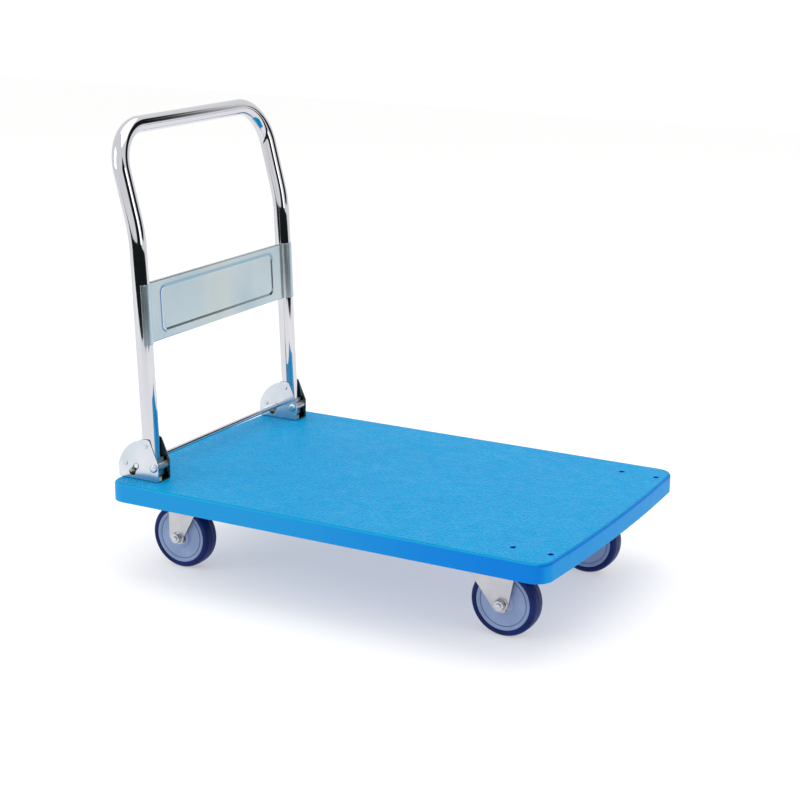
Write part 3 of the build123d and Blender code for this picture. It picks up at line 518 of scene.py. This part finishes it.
spring_steel = Finish("spring_steel", shade(120, 122, 126), 0.3, 1.0)
spring_steel.gloss(spring_steel.clouds(260.0, 3.0), 0.22, 0.42)
coil_x = (spacer_low.x + spacer_high.x) / 2
coil_z = (spacer_low.z + spacer_high.z) / 2
coil_end_y = spring_high.y - spring_end_inset
arm_x = (bar_low.x + bar_high.x) / 2 + arm_past_bar
for side, sign in (("left", 1), ("right", -1)):
    post_x = coil_x - coil_radius
    post_y = sign * (coil_end_y - coil_from_end)
    coil = [
        Vector((post_x, post_y, spring_low.z + base_gap)),
        Vector((post_x, post_y, coil_z - post_top_drop)),
    ]
    total = int(spring_turns * coil_steps)
    for step in range(total + 1):
        angle = math.pi - 2 * math.pi * step / coil_steps
        along = coil_end_y - coil_from_end + coil_length * step / total
        coil.append(Vector((
            coil_x + coil_radius * math.cos(angle), sign * along, coil_z + coil_radius * math.sin(angle)
        )))
    arm_end = Vector((arm_x, sign * (coil_end_y - arm_from_end), bar_low.z - arm_drop))
    last = coil[-1]
    coil += [last.lerp(arm_end, share) for share in (0.35, 0.7, 1.0)]
    mesh = wire_mesh(f"release_spring_{side}", coil, spring_wire / 2)
    stands_for = ("release_springs",) if side == "left" else ()
    show_piece(f"release_spring_{side}", mesh, spring_steel, "spring_steel", "root", *stands_for)

# ---------------------------------------------------------------- release bar
# A bright chromed rod under the pusher's foot, across the rear end through both keyholes, kept from
# sliding out by two spring clips.
bar_chrome = Finish("bar_chrome", shade(212, 214, 218), 0.06, 1.0)
bar_chrome.gloss(bar_chrome.clouds(60.0, 4.0, (1, 0.2, 1)), 0.04, 0.12)
clip_steel = Finish("clip_steel", shade(160, 164, 170), 0.3, 1.0)
clip_steel.gloss(clip_steel.clouds(260.0, 3.0), 0.22, 0.42)
finish_node("release_bar", bar_chrome)
finish_node("bar_clips", clip_steel)

# ---------------------------------------------------------------- push handle
# One length of bright chromed steel tube, bent at both corners and again above the panel. A welded steel
# foot in each end carries the pivot barrel.
tube_chrome = Finish("tube_chrome", shade(203, 204, 210), 0.035, 1.0)
tube_chrome.tint(tube_chrome.clouds(9.0, 2.0), shade(200, 202, 209), shade(207, 207, 211))
tube_chrome.gloss(tube_chrome.clouds(45.0, 4.0), 0.02, 0.055)
foot_steel = Finish("foot_zinc_steel", shade(176, 180, 186), 0.3, 1.0)
foot_steel.tint(foot_steel.clouds(60.0, 3.0), shade(168, 172, 180), shade(188, 190, 194))
foot_steel.gloss(foot_steel.clouds(120.0, 3.0), 0.24, 0.42)
tube_radius = 0.0159
tube_wall = 0.0015
tube_foot = Vector((-0.373026, 0.242, 0.199))
tube_kink = Vector((-0.3941307, 0.242, 0.640))
tube_corner = Vector((-0.4434538, 0.242, 0.828))
kink_bend = 0.300
corner_bend = 0.079
pivot_x = -0.356648
pivot_z = 0.212
foot_swing = 0.0339


def bent_line(corners, bends, step):
    """Points along a line whose corners are bent to these radii."""
    line = [corners[0]]
    for before, corner, after, bend in zip(corners, corners[1:], corners[2:], bends):
        back = (before - corner).normalized()
        ahead = (after - corner).normalized()
        half_angle = back.angle(ahead) / 2
        run = bend / math.tan(half_angle)
        centre = corner + (back + ahead).normalized() * (bend / math.sin(half_angle))
        start = corner + back * run - centre
        axis = start.cross(corner + ahead * run - centre).normalized()
        sweep = math.pi - 2 * half_angle
        parts = max(int(sweep * bend / step), 12)
        line += [
            centre + Quaternion(axis, sweep * part / parts) @ start for part in range(parts + 1)
        ]
    return line + [corners[-1]]


def tube_mesh(name, line, outer, inner, around=64):
    """A tube with open bore along a line, its ends cut square to Z, cleared for the foot's swing."""
    close = []
    for first, second in zip(line, line[1:]):
        parts = max(int((second - first).length / 0.012), 1)
        close += [first.lerp(second, part / parts) for part in range(parts)]
    close.append(line[-1])
    work = bmesh.new()
    walls = []
    across = Vector((0, 1, 0))
    tangent = (close[1] - close[0]).normalized()
    across = (across - tangent * across.dot(tangent)).normalized()
    for index, point in enumerate(close):
        before = close[max(index - 1, 0)]
        after = close[min(index + 1, len(close) - 1)]
        heading = (after - before).normalized()
        across = tangent.rotation_difference(heading) @ across
        tangent = heading
        other = tangent.cross(across)
        rings = []
        for radius in (outer, inner):
            ring = []
            for step in range(around):
                angle = 2 * math.pi * step / around
                place = point + radius * (across * math.cos(angle) + other * math.sin(angle))
                away = math.hypot(place.x - pivot_x, place.z - pivot_z)
                if place.z < pivot_z and away > foot_swing:
                    place.x = pivot_x + (place.x - pivot_x) * foot_swing / away
                    place.z = pivot_z + (place.z - pivot_z) * foot_swing / away
                ring.append(work.verts.new(place))
            rings.append(ring)
        walls.append(rings)
    for (outer_a, inner_a), (outer_b, inner_b) in zip(walls, walls[1:]):
        for step in range(around):
            following = (step + 1) % around
            work.faces.new((outer_a[step], outer_a[following], outer_b[following], outer_b[step]))
            work.faces.new((inner_a[following], inner_a[step], inner_b[step], inner_b[following]))
    for outer_ring, inner_ring in (walls[0], walls[-1]):
        for step in range(around):
            following = (step + 1) % around
            work.faces.new((
                outer_ring[step], inner_ring[step], inner_ring[following], outer_ring[following]
            ))
    mesh = finished_mesh(work, name)
    mesh.polygons.foreach_set("use_smooth", [True] * len(mesh.polygons))
    mesh.set_sharp_from_angle(angle=math.radians(50))
    return mesh


left_half = [tube_foot, tube_kink, tube_corner]
right_half = [Vector((corner.x, -corner.y, corner.z)) for corner in reversed(left_half)]
handle_line = bent_line(left_half + right_half, (kink_bend, corner_bend, corner_bend, kink_bend), 0.003)
mesh = tube_mesh("push_handle_tube", handle_line, tube_radius, tube_radius - tube_wall)
show_piece("push_handle_tube", mesh, tube_chrome, "chrome_tube", "handle", "handle_tube")
for side in ("left", "right"):
    finish_node(f"handle_foot_{side}", foot_steel)

# ---------------------------------------------------------------- back panel
# A zinc plated sheet across the uprights. Its ends are curled round the front of each tube, its top and
# bottom edges are folded back, and a shallow rounded field is pressed into the middle to stiffen it.
panel_sheet = 0.0012
panel_rail = tube_foot.y
panel_mid_radius = 0.01655
panel_forward = 0.005
panel_wrap = 57.0
panel_height = 0.111
panel_flange = 0.005
panel_fold = 0.0016
flange_reach = 0.2219
field_half_width = 0.1881
field_half_height = 0.0395
field_corner = 0.011
field_depth = 0.0017
field_slope = 0.0036
curl_corner = 0.003
lower_lean = math.radians(2.74)
panel_foot = Vector((-0.3845598, 0.0, 0.440))


def panel_section():
    """Middle of the sheet from the left end to the right, as (forward, sideways, outward normal)."""
    web_angle = -math.acos(panel_forward / panel_mid_radius)
    start = math.radians(panel_wrap)
    line = []
    steps = 44
    corner_turn = curl_corner / panel_mid_radius
    for step in range(steps + 1):
        angle = start + (web_angle + corner_turn - start) * step / steps
        line.append(Vector((
            panel_mid_radius * math.cos(angle), panel_rail + panel_mid_radius * math.sin(angle)
        )))
    corner = Vector((panel_forward, panel_rail + panel_mid_radius * math.sin(web_angle)))
    before = line[-1]
    after = corner + Vector((0, -curl_corner))
    for step in range(1, 8):
        share = step / 8
        line.append(before * (1 - share) ** 2 + corner * 2 * share * (1 - share) + after * share ** 2)
    columns = 150
    for step in range(columns + 1):
        line.append(Vector((panel_forward, after.y * (1 - step / columns))))
    return line + [Vector((point.x, -point.y)) for point in reversed(line[:-1])]


def field_sink(sideways, height):
    """How far the pressed field lies behind the sheet at a place on it."""
    across = abs(sideways) - (field_half_width - field_corner)
    up = abs(height - panel_height / 2) - (field_half_height - field_corner)
    outside = math.hypot(max(across, 0), max(up, 0)) + min(max(across, up), 0) - field_corner
    share = min(max(0.5 - outside / field_slope, 0), 1)
    return field_depth * share * share * (3 - 2 * share)


def panel_mesh():
    section = panel_section()
    rows = 84
    heights = [panel_height * row / rows for row in range(rows + 1)]
    fold_rows = [panel_fold * step / 4 for step in range(5)]
    inner = [h for h in heights if panel_fold < h < panel_height - panel_fold]
    heights = fold_rows + inner + [panel_height - h for h in reversed(fold_rows)]
    work = bmesh.new()
    grid = []
    for point in section:
        folded = abs(point.y) < flange_reach
        column = []
        for height in heights:
            forward = point.x
            at = height
            if folded:
                forward -= field_sink(point.y, height)
                for edge, way in ((panel_fold - height, -1), (height - panel_height + panel_fold, 1)):
                    if edge > 0:
                        turn = edge / panel_fold * math.pi / 2
                        base = panel_fold if way < 0 else panel_height - panel_fold
                        at = base + way * panel_fold * math.sin(turn)
                        forward -= panel_fold * (1 - math.cos(turn))
            column.append(work.verts.new((forward, point.y, at)))
        flange = []
        if folded:
            for end in (0, -1):
                last = column[end]
                strip = [last]
                for share in (0.5, 1.0):
                    back = (panel_flange - panel_fold) * share
                    strip.append(work.verts.new(last.co - Vector((back, 0, 0))))
                flange.append(strip)
        grid.append((column, flange))
    for (first, first_flange), (second, second_flange) in zip(grid, grid[1:]):
        for low in range(len(heights) - 1):
            work.faces.new((first[low], second[low], second[low + 1], first[low + 1]))
        for one, two in zip(first_flange, second_flange):
            for low in range(len(one) - 1):
                work.faces.new((one[low], two[low], two[low + 1], one[low + 1]))
    lean = Matrix.Translation(panel_foot) @ Matrix.Rotation(-lower_lean, 4, "Y")
    bmesh.ops.transform(work, matrix=lean, verts=work.verts)
    return finished_mesh(work, "back_panel_sheet")


panel_zinc = Finish("panel_zinc", shade(172, 187, 196), 0.18, 1.0)
panel_zinc.tint(panel_zinc.clouds(7.0, 3.0), shade(164, 183, 194), shade(184, 196, 201))
warm_middle = panel_zinc.times(
    panel_zinc.between("Y", -0.09, -0.02), panel_zinc.between("Y", 0.08, 0.01)
)
panel_zinc.overlay(panel_zinc.times(warm_middle, panel_zinc.clouds(16.0, 3.0)), shade(214, 208, 180), 0.35)


def curl_painted_stripe(inner, outer, edge, colour, most):
    """A painted stripe of reflected light up both curls, between two distances from the truck's middle
    line.
    """
    for way in (1, -1):
        inside = panel_zinc.between("Y", way * (inner - edge), way * (inner + edge))
        outside = panel_zinc.between("Y", way * (outer + edge), way * (outer - edge))
        panel_zinc.overlay(panel_zinc.times(inside, outside), colour, most)


field_middle = panel_foot.z + panel_height / 2 * math.cos(lower_lean)
panel_maths = panel_zinc.tree


def past_field(axis, middle, half):
    """How far a place lies beyond the straight part of the field's edge, along an axis."""
    off = sum_node(panel_maths, "ABSOLUTE", sum_node(
        panel_maths, "SUBTRACT", panel_zinc.split.outputs[axis], middle
    ))
    return sum_node(panel_maths, "SUBTRACT", off, half - field_corner)


off_side = past_field("Y", 0.0, field_half_width)
off_level = past_field("Z", field_middle, field_half_height)
round_off = flat_distance(
    panel_maths,
    sum_node(panel_maths, "MAXIMUM", off_side, 0.0),
    sum_node(panel_maths, "MAXIMUM", off_level, 0.0),
)
inside_off = sum_node(panel_maths, "MINIMUM", sum_node(panel_maths, "MAXIMUM", off_side, off_level), 0.0)
field_off = sum_node(panel_maths, "ADD", round_off, inside_off)
field_off = sum_node(panel_maths, "SUBTRACT", field_off, field_corner)


def field_painted_line(middle, half, where, colour, most):
    """A soft painted line round the field, standing in for the lit and shaded walls of its pressing, at a
    distance outside its edge, over a part of the sheet.
    """
    rising = eased(panel_maths, field_off, middle - half, middle)
    falling = eased(panel_maths, field_off, middle + half, middle)
    panel_zinc.overlay(panel_zinc.times(panel_zinc.times(rising, falling), where), colour, most)


upper_part = panel_zinc.between("Z", field_middle + 0.020, field_middle + 0.036)
lower_part = panel_zinc.between("Z", field_middle - 0.020, field_middle - 0.036)
right_part = panel_zinc.between("Y", -field_half_width + 0.012, -field_half_width + 0.004)
left_part = panel_zinc.between("Y", field_half_width - 0.012, field_half_width - 0.004)
# Painted light and shade round the field: painted shade along the top edge, painted shade and a painted
# highlight along the edge towards -Y, a thin painted shade line along the edge towards +Y and a painted
# highlight along the bottom.
field_painted_line(0.0030, 0.0062, upper_part, shade(112, 154, 178), 0.75)
field_painted_line(0.0030, 0.0038, right_part, shade(40, 104, 166), 0.95)
field_painted_line(-0.0010, 0.0022, right_part, shade(250, 252, 253), 0.9)
field_painted_line(0.0006, 0.0016, left_part, shade(96, 112, 124), 0.7)
field_painted_line(0.0010, 0.0022, lower_part, shade(226, 234, 238), 0.5)
# Painted highlights up the curls: two bright stripes, and a blue-grey painted reflection further out.
curl_painted_stripe(0.2262, 0.2285, 0.0006, shade(240, 245, 248), 0.8)
curl_painted_stripe(0.2325, 0.2350, 0.0008, shade(226, 234, 240), 0.6)
curl_painted_stripe(0.2385, 0.2475, 0.0022, shade(158, 188, 208), 0.6)
panel_zinc.gloss(panel_zinc.clouds(9.0, 1.0), 0.16, 0.21)
panel_zinc.relief(panel_zinc.clouds(420.0, 2.0, (1, 0.06, 1)), 0.00002, 0.3)
sheet = show_piece("back_panel_sheet", panel_mesh(), panel_zinc, "zinc_sheet", "handle", "back_panel")
thickness = sheet.modifiers.new("sheet_thickness", "SOLIDIFY")
thickness.thickness = panel_sheet
thickness.offset = 0.0
thickness.use_even_offset = True

# ---------------------------------------------------------------- caster plates and forks
# Pressed and zinc plated. The front forks are fixed; the rear ones turn under their plates on a ring of
# balls. Each leg is folded inwards along its leading edge and dished round the axle.
fork_edge = 0.0006
front_crease = 0.0060
rear_crease = 0.0080
front_fold_in = 0.20
rear_fold_in = 0.14
fork_leg_half = 0.0255
front_crown = 0.151
rear_crown = 0.131
crown_clear = 0.010
press_ring = 0.0118
press_width = 0.0017
press_height = 0.0007


def fold_leading_edge(work, crease_x, fold_in, top_z, middle_y):
    """Folds the part of both legs ahead of the crease a little towards the wheel."""
    for place, normal in (((crease_x, 0, 0), (1, 0, 0)), ((0, 0, top_z), (0, 0, 1))):
        geometry = work.verts[:] + work.edges[:] + work.faces[:]
        bmesh.ops.bisect_plane(work, geom=geometry, plane_co=place, plane_no=normal, dist=0.0000005)
    for vertex in work.verts:
        ahead = vertex.co.x - crease_x
        if ahead > 0 and vertex.co.z < top_z - 0.00001:
            way = 1 if vertex.co.y > middle_y else -1
            vertex.co.y -= way * fold_in * ahead


def press_round_axle(work, axle, outer_y, way):
    """Adds the raised ring that is pressed round an axle hole, on one leg's outer face."""
    around = 64
    across = 10
    rings = []
    for step in range(around):
        angle = 2 * math.pi * step / around
        ring = []
        for place in range(across):
            turn = 2 * math.pi * place / across
            radius = press_ring + press_width * math.cos(turn)
            rise = press_height * math.sin(turn)
            ring.append(work.verts.new((
                axle.x + radius * math.cos(angle), outer_y + way * rise, axle.z + radius * math.sin(angle)
            )))
        rings.append(ring)
    for step in range(around):
        first = rings[step]
        second = rings[(step + 1) % around]
        for place in range(across):
            following = (place + 1) % across
            work.faces.new((first[place], first[following], second[following], second[place]))


def middle_of(node):
    low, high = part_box(node)
    return (low + high) / 2


fork_zinc = Finish("fork_zinc", shade(190, 190, 196), 0.36, 1.0)
fork_zinc.tint(fork_zinc.clouds(26.0, 4.0), shade(182, 183, 189), shade(198, 197, 199))
fork_zinc.gloss(fork_zinc.clouds(30.0, 2.0), 0.3, 0.38)
fork_zinc.relief(fork_zinc.clouds(600.0, 2.0, (1, 1, 0.1)), 0.00004, 0.5)
caster_screw = Finish("caster_screw_zinc", shade(200, 202, 206), 0.3, 1.0)
caster_screw.tint(caster_screw.clouds(200.0, 2.0), shade(192, 195, 200), shade(210, 211, 213))
caster_screw.gloss(caster_screw.clouds(200.0, 3.0), 0.22, 0.42)
bearing_steel = Finish("bearing_steel", shade(186, 188, 190), 0.22, 1.0)
bearing_steel.gloss(bearing_steel.clouds(150.0, 3.0), 0.16, 0.3)
insert_brass = Finish("insert_brass", shade(200, 165, 90), 0.3, 1.0)
insert_brass.gloss(insert_brass.clouds(150.0, 3.0), 0.2, 0.4)
for side in ("left", "right"):
    for end, node, body in (
        ("front", f"rigid_fork_{side}", "root"), ("rear", f"swivel_fork_{side}", f"swivel_{side}")
    ):
        axle = middle_of(f"axle_sleeve_{end}_{side}")
        fork = pressed_copy(node)
        crease = front_crease if end == "front" else rear_crease
        fold_in = front_fold_in if end == "front" else rear_fold_in
        crown_z = (front_crown if end == "front" else rear_crown) - crown_clear
        fold_leading_edge(fork, axle.x + crease, fold_in, crown_z, axle.y)
        rolled_edges(fork, fork_edge)
        for way in (1, -1):
            press_round_axle(fork, axle, axle.y + way * fork_leg_half, way)
        mesh = finished_mesh(fork, f"{end}_fork_{side}")
        flats_kept(show_piece(f"{end}_fork_{side}", mesh, fork_zinc, "caster_zinc", body, node))
        finish_node(f"axle_bolt_{end}_{side}", caster_screw)
        finish_node(f"axle_nut_{end}_{side}", caster_screw)
        finish_node(f"axle_sleeve_{end}_{side}", bearing_steel)
    top_plate = pressed_copy(f"swivel_plate_{side}")
    rolled_edges(top_plate, fork_edge)
    mesh = finished_mesh(top_plate, f"swivel_top_plate_{side}")
    flats_kept(show_piece(
        f"swivel_top_plate_{side}", mesh, fork_zinc, "caster_zinc", "root", f"swivel_plate_{side}"
    ))
    finish_node(f"kingpin_{side}", caster_screw)
    finish_node(f"swivel_balls_{side}", bearing_steel)
finish_node("caster_bolts", caster_screw)
finish_node("caster_inserts", insert_brass)

# ---------------------------------------------------------------- wheels
# Navy elastic rubber tyres moulded on grey polypropylene hubs. Each hub has a raised rim, a fine groove
# inside it and a plain disc, and a ball bearing pressed into each end of its boss.
wheel_steps = 144
tyre_half_profile = (
    (0.0510, 0.0166), (0.0516, 0.0173), (0.0524, 0.0177), (0.0535, 0.0178), (0.0541, 0.0176),
    (0.0545, 0.0178), (0.0553, 0.0179), (0.0571, 0.01765), (0.0587, 0.0168), (0.0602, 0.0154),
    (0.0613, 0.0136), (0.0619, 0.0116), (0.0622, 0.0092), (0.0623, 0.0060), (0.0623, 0.0009),
    (0.0625, 0.0005),
)
hub_half_profile = (
    (0.0086, 0.0105), (0.0150, 0.0105), (0.0150, 0.0201), (0.0154, 0.0205), (0.0182, 0.0205),
    (0.0189, 0.0202), (0.0213, 0.0163), (0.0221, 0.0153), (0.0232, 0.0148), (0.0280, 0.0145),
    (0.0350, 0.0145), (0.0410, 0.0148), (0.0426, 0.0150), (0.0430, 0.0147), (0.0431, 0.0126),
    (0.0443, 0.0126), (0.0444, 0.0147), (0.0448, 0.0150), (0.0458, 0.0152), (0.0470, 0.0160),
    (0.0478, 0.0164), (0.0488, 0.0165), (0.0504, 0.0165), (0.0509, 0.0162),
)


def turned_mesh(name, half_profile, middle):
    """A ring turned about a crosswise axle from half of its (radius, side) section."""
    profile = list(half_profile) + [(radius, -side) for radius, side in reversed(half_profile)]
    work = bmesh.new()
    rings = []
    for step in range(wheel_steps):
        angle = 2 * math.pi * step / wheel_steps
        rings.append([
            work.verts.new((
                middle.x + radius * math.sin(angle), middle.y + side, middle.z - radius * math.cos(angle)
            ))
            for radius, side in profile
        ])
    for step in range(wheel_steps):
        first = rings[step]
        second = rings[(step + 1) % wheel_steps]
        for place in range(len(profile)):
            following = (place + 1) % len(profile)
            work.faces.new((first[place], first[following], second[following], second[place]))
    return finished_mesh(work, name)


tyre_rubber = Finish("tyre_rubber", shade(10, 32, 92), 0.4)
tyre_rubber.shader.inputs["Specular IOR Level"].default_value = 0.16
tyre_rubber.tint(tyre_rubber.clouds(30.0, 3.0), shade(4, 26, 82), shade(12, 38, 102))
tyre_rubber.gloss(tyre_rubber.clouds(60.0, 3.0), 0.34, 0.5)
tyre_rubber.relief(tyre_rubber.clouds(900.0, 2.0), 0.00008, 0.5)
hub_grey = Finish("hub_polypropylene", shade(134, 154, 190), 0.4)
hub_grey.shader.inputs["Specular IOR Level"].default_value = 0.3
hub_grey.tint(hub_grey.clouds(25.0, 3.0), shade(128, 149, 185), shade(142, 161, 196))
hub_grey.gloss(hub_grey.clouds(60.0, 3.0), 0.34, 0.46)
hub_grey.relief(hub_grey.clouds(800.0, 2.0), 0.00006, 0.5)
for end in ("front", "rear"):
    for side in ("left", "right"):
        middle = middle_of(f"axle_sleeve_{end}_{side}")
        body = f"wheel_{end}_{side}"
        mesh = turned_mesh(f"{end}_tyre_{side}", tyre_half_profile, middle)
        show_piece(f"{end}_tyre_{side}", mesh, tyre_rubber, "tyre_rubber", body, f"tyre_{end}_{side}")
        mesh = turned_mesh(f"{end}_hub_{side}", hub_half_profile, middle)
        mesh.set_sharp_from_angle(angle=math.radians(40))
        show_piece(f"{end}_hub_{side}", mesh, hub_grey, "hub_plastic", body, f"hub_{end}_{side}")
        finish_node(f"wheel_bearings_{end}_{side}", bearing_steel)
